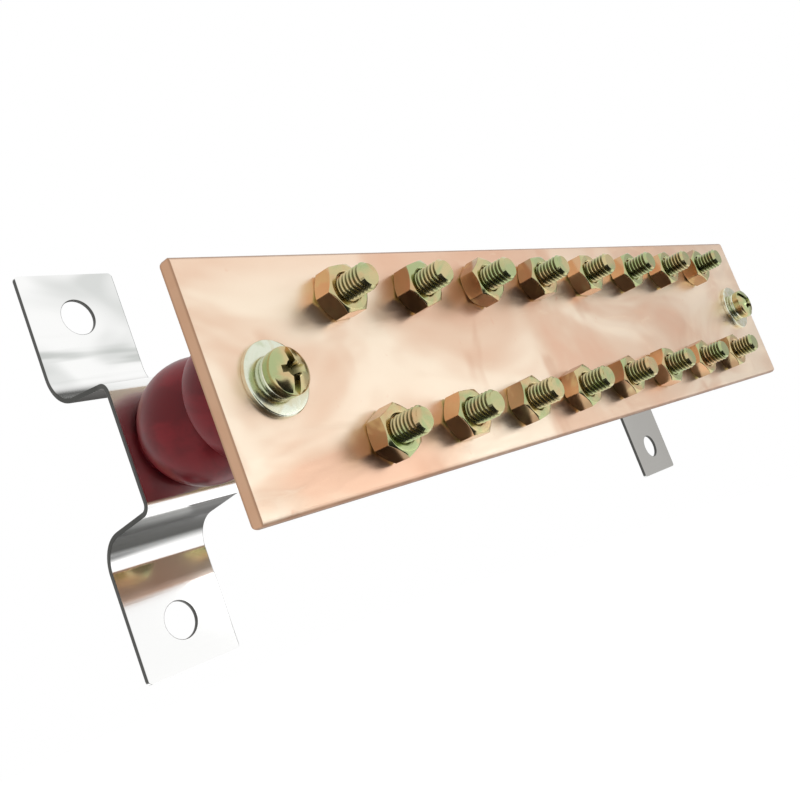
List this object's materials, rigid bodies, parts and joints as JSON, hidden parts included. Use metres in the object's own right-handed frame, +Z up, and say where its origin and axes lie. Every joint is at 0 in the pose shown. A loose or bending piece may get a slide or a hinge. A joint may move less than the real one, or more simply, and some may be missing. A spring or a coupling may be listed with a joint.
{
  "type": "rack grounding busbar",
  "caption": "Copper grounding bar with rows of bolts and nuts for ring terminals, held off the wall by moulded insulators on folded steel brackets.",
  "frame": {"origin": "centre of the four wall holes, in the plane of the brackets' feet that lies against the wall", "axes": "+X along the bar to the viewer's right, +Z up, the bar's front with its nuts faces -Y and the wall is on the +Y side"},
  "size_m": [0.25, 0.061, 0.088],
  "materials": {
    "copper": "bright polished copper with cloudy rolling marks",
    "yellow_zinc_bolt": "yellow zinc plated thread and head",
    "yellow_zinc_nut": "yellow zinc plated, bright",
    "yellow_zinc_screw": "yellow zinc plated, bright",
    "washer_zinc": "pale zinc plated",
    "insulator_red": "glossy moulded dark red",
    "insert_brass": "turned brass",
    "bracket_steel": "bright polished stainless sheet"
  },
  "bodies": {
    "root": {"copper_bar": "copper", "bolt_top_1": "yellow_zinc_bolt", "bolt_top_2": "yellow_zinc_bolt", "bolt_top_3": "yellow_zinc_bolt", "bolt_top_4": "yellow_zinc_bolt", "bolt_top_5": "yellow_zinc_bolt", "bolt_top_6": "yellow_zinc_bolt", "bolt_top_7": "yellow_zinc_bolt", "bolt_top_8": "yellow_zinc_bolt", "bolt_bottom_1": "yellow_zinc_bolt", "bolt_bottom_2": "yellow_zinc_bolt", "bolt_bottom_3": "yellow_zinc_bolt", "bolt_bottom_4": "yellow_zinc_bolt", "bolt_bottom_5": "yellow_zinc_bolt", "bolt_bottom_6": "yellow_zinc_bolt", "bolt_bottom_7": "yellow_zinc_bolt", "bolt_bottom_8": "yellow_zinc_bolt", "nut_top_1": "yellow_zinc_nut", "nut_top_2": "yellow_zinc_nut", "nut_top_3": "yellow_zinc_nut", "nut_top_4": "yellow_zinc_nut", "nut_top_5": "yellow_zinc_nut", "nut_top_6": "yellow_zinc_nut", "nut_top_7": "yellow_zinc_nut", "nut_top_8": "yellow_zinc_nut", "nut_bottom_1": "yellow_zinc_nut", "nut_bottom_2": "yellow_zinc_nut", "nut_bottom_3": "yellow_zinc_nut", "nut_bottom_4": "yellow_zinc_nut", "nut_bottom_5": "yellow_zinc_nut", "nut_bottom_6": "yellow_zinc_nut", "nut_bottom_7": "yellow_zinc_nut", "nut_bottom_8": "yellow_zinc_nut", "end_screw_left": "yellow_zinc_screw", "end_screw_right": "yellow_zinc_screw", "end_spring_washer_left": "washer_zinc", "end_spring_washer_right": "washer_zinc", "end_flat_washer_left": "washer_zinc", "end_flat_washer_right": "washer_zinc", "insulator_left": "insulator_red", "insulator_right": "insulator_red", "insert_front_left": "insert_brass", "insert_front_right": "insert_brass", "insert_back_left": "insert_brass", "insert_back_right": "insert_brass", "bracket_left": "bracket_steel", "bracket_right": "bracket_steel", "bracket_screw_left": "yellow_zinc_screw", "bracket_screw_right": "yellow_zinc_screw", "bracket_spring_washer_left": "washer_zinc", "bracket_spring_washer_right": "washer_zinc", "bracket_flat_washer_left": "washer_zinc", "bracket_flat_washer_right": "washer_zinc"}
  },
  "joints": []
}
